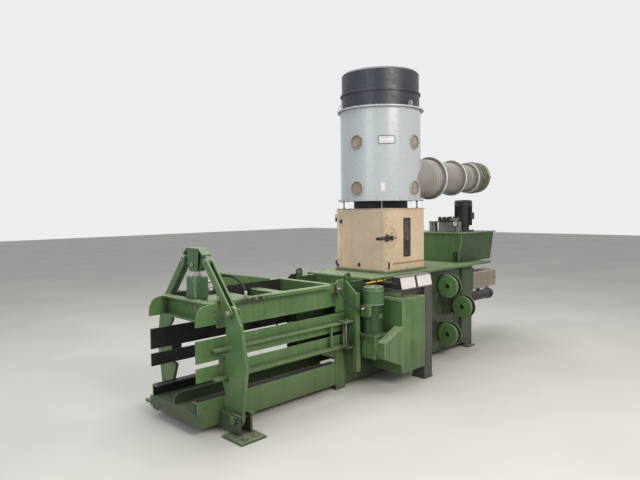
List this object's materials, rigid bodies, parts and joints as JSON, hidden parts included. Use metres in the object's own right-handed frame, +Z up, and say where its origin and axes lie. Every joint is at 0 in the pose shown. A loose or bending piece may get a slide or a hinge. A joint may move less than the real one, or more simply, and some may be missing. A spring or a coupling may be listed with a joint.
{
  "type": "recycling baler",
  "caption": "Horizontal baling press with feed chute, separator drum, air duct and a bale channel whose hinged side walls are squeezed by levers.",
  "frame": {"origin": "on the floor, in the middle between the anchor holes of the two front foot plates, in the plane of the squeeze levers", "axes": "+X back along the press towards the main cylinder, +Y away from the operator's side, +Z up"},
  "size_m": [4.721, 1.373, 2.95],
  "materials": {
    "green_paint": "semi-gloss paint, worn",
    "dark_green_paint": "semi-gloss paint, grimy",
    "cream_paint": "satin paint",
    "grey_paint": "satin paint",
    "violet_paint": "satin paint",
    "navy_paint": "satin paint",
    "olive_paint": "satin paint",
    "bright_steel": "polished",
    "bare_steel": "oily steel",
    "black_paint": "satin paint",
    "black_rubber": "matt rubber",
    "dark_glass": "dusty glass"
  },
  "bodies": {
    "root": {"cross_plates": "dark_green_paint", "floor_feet": "green_paint", "fixed_pins": "bare_steel", "lower_beams": "green_paint", "center_rail": "dark_green_paint", "side_beams": "green_paint", "front_beam": "green_paint", "roof_front_plate": "green_paint", "roof_cross_member": "green_paint", "roof_rear_plate": "green_paint", "hose_guard": "green_paint", "squeeze_cylinder": "green_paint", "portal_wings": "green_paint", "press_sides": "dark_green_paint", "channel_floor": "dark_green_paint", "deck": "green_paint", "rear_wall": "dark_green_paint", "main_cylinder": "black_paint", "motor_body": "green_paint", "fan_cover": "green_paint", "terminal_box": "green_paint", "gearbox": "green_paint", "chain_guard": "green_paint", "guard_box": "green_paint", "console_column": "violet_paint", "console_desk": "black_paint", "chute_body": "cream_paint", "chute_window": "dark_glass", "door_hinges": "black_paint", "drum_sleeve": "black_rubber", "spacer_rods": "bare_steel", "drum_shell": "grey_paint", "porthole_rings": "cream_paint", "porthole_panes": "dark_glass", "drum_head": "navy_paint", "duct_sections": "grey_paint", "duct_clamps": "grey_paint", "duct_coupling": "olive_paint", "oil_tank": "green_paint", "pump_motor": "black_paint", "valve_block": "bare_steel", "electrical_box": "cream_paint", "wheel_carrier": "dark_green_paint", "squeeze_hoses": "black_rubber", "motor_cable": "black_rubber", "hose_fittings": "bare_steel"},
    "crosshead": {"crosshead": "green_paint", "crosshead_rod": "bright_steel"},
    "link_near": {"link_near": "green_paint"},
    "link_far": {"link_far": "green_paint"},
    "lever_near": {"lever_near": "green_paint"},
    "lever_far": {"lever_far": "green_paint"},
    "wall_near": {"rails_near": "green_paint"},
    "wall_far": {"rails_far": "green_paint"},
    "ram": {"ram": "dark_green_paint"},
    "chute_door": {"chute_door": "cream_paint"},
    "door_latch": {"door_latch": "black_paint"},
    "wheel_upper": {"wheel_upper": "green_paint"},
    "wheel_lower": {"wheel_lower": "green_paint"},
    "wheel_rear": {"wheel_rear": "green_paint"}
  },
  "joints": [
    {"name": "squeeze_slide", "type": "slide", "parent": "root", "child": "crosshead", "axis": [0, 0, 1], "range_m": [-0.008, 0.018]},
    {"name": "link_near_hinge", "type": "hinge", "parent": "crosshead", "child": "link_near", "pos_m": [0, -0.15, 1.213], "axis": [1, 0, 0], "range_deg": [-1.78, 4]},
    {"name": "link_far_hinge", "type": "hinge", "parent": "crosshead", "child": "link_far", "pos_m": [0, 0.15, 1.213], "axis": [1, 0, 0], "range_deg": [-4, 1.78]},
    {"name": "lever_near_hinge", "type": "hinge", "parent": "root", "child": "lever_near", "pos_m": [0, -0.49, 0.12], "axis": [1, 0, 0], "range_deg": [-1.89, 0.84]},
    {"name": "lever_far_hinge", "type": "hinge", "parent": "root", "child": "lever_far", "pos_m": [0, 0.49, 0.12], "axis": [1, 0, 0], "range_deg": [-0.84, 1.89]},
    {"name": "wall_near_hinge", "type": "hinge", "parent": "root", "child": "wall_near", "pos_m": [1.285, -0.35, 0.5], "axis": [0, 0, 1], "range_deg": [-0.563, 0.25]},
    {"name": "wall_far_hinge", "type": "hinge", "parent": "root", "child": "wall_far", "pos_m": [1.285, 0.35, 0.5], "axis": [0, 0, 1], "range_deg": [-0.25, 0.563]},
    {"name": "ram_slide", "type": "slide", "parent": "root", "child": "ram", "axis": [-1, 0, 0], "range_m": [0, 0.84]},
    {"name": "chute_door_hinge", "type": "hinge", "parent": "root", "child": "chute_door", "pos_m": [1.886, 0.326, 1.25], "axis": [0, 0, -1], "range_deg": [0, 100]},
    {"name": "door_latch_hinge", "type": "hinge", "parent": "root", "child": "door_latch", "pos_m": [1.965, -0.33, 1.308], "axis": [0, 1, 0], "range_deg": [0, 90]},
    {"name": "wheel_upper_spin", "type": "hinge", "parent": "root", "child": "wheel_upper", "pos_m": [2.757, -0.452, 0.764], "axis": [1, 0, 0], "continuous": true},
    {"name": "wheel_lower_spin", "type": "hinge", "parent": "root", "child": "wheel_lower", "pos_m": [2.757, -0.452, 0.251], "axis": [1, 0, 0], "continuous": true},
    {"name": "wheel_rear_spin", "type": "hinge", "parent": "root", "child": "wheel_rear", "pos_m": [3.045, -0.452, 0.506], "axis": [1, 0, 0], "continuous": true}
  ],
  "couplings": [
    {"joint": "link_near_hinge", "follows": "squeeze_slide", "rad_per_m": 3.7661},
    {"joint": "link_far_hinge", "follows": "squeeze_slide", "rad_per_m": -3.7661},
    {"joint": "lever_near_hinge", "follows": "squeeze_slide", "rad_per_m": -1.7817},
    {"joint": "lever_far_hinge", "follows": "squeeze_slide", "rad_per_m": 1.7817},
    {"joint": "wall_near_hinge", "follows": "squeeze_slide", "rad_per_m": -0.53035},
    {"joint": "wall_far_hinge", "follows": "squeeze_slide", "rad_per_m": 0.53035}
  ]
}
